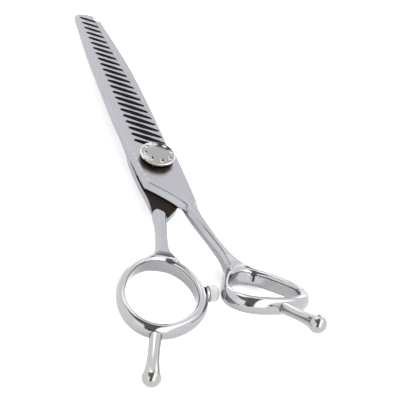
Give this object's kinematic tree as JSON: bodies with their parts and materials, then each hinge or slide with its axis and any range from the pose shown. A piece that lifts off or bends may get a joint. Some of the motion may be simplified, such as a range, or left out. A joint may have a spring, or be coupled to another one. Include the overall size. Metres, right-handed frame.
{
  "type": "thinning shears",
  "caption": "Hairdresser's thinning shears: toothed comb half over a straight blade half on a dial pivot, oval finger rings with pegs and a bumper between them.",
  "frame": {"origin": "centre of the pivot screw's flat head, flush with the underside of the straight half", "axes": "+Y from the pivot towards the blade tips, +Z along the pivot axis towards the tension dial, +X towards the thumb ring"},
  "size_m": [0.0558, 0.161, 0.0217],
  "materials": {
    "blade_steel": "polished, with satin blade faces",
    "screw_steel": "turned",
    "dial_steel": "polished",
    "rest_steel": "polished",
    "ring_brass": "turned",
    "bearing_polymer": "matte",
    "bumper_rubber": "milky, translucent"
  },
  "bodies": {
    "straight": {"straight_half": "blade_steel", "pivot_screw": "screw_steel", "pivot_key": "screw_steel", "ride_washer": "bearing_polymer", "thrust_washer": "bearing_polymer", "click_ring": "ring_brass", "disc_spring": "screw_steel", "lock_screw": "screw_steel", "bumper_stud": "screw_steel", "bumper": "bumper_rubber", "finger_rest": "rest_steel"},
    "comb": {"comb_half": "blade_steel", "pivot_bush": "bearing_polymer", "thumb_rest": "rest_steel"},
    "dial": {"tension_dial": "dial_steel", "dial_cap": "dial_steel", "detent_plate": "screw_steel"}
  },
  "joints": [
    {"name": "blade_pivot", "type": "hinge", "parent": "straight", "child": "comb", "pos_m": [0, 0, 0], "axis": [0, 0, 1], "range_deg": [0, 60]},
    {"name": "dial_turn", "type": "hinge", "parent": "straight", "child": "dial", "pos_m": [0, 0, 0.006], "axis": [0, 0, 1], "range_deg": [-90, 90]}
  ]
}
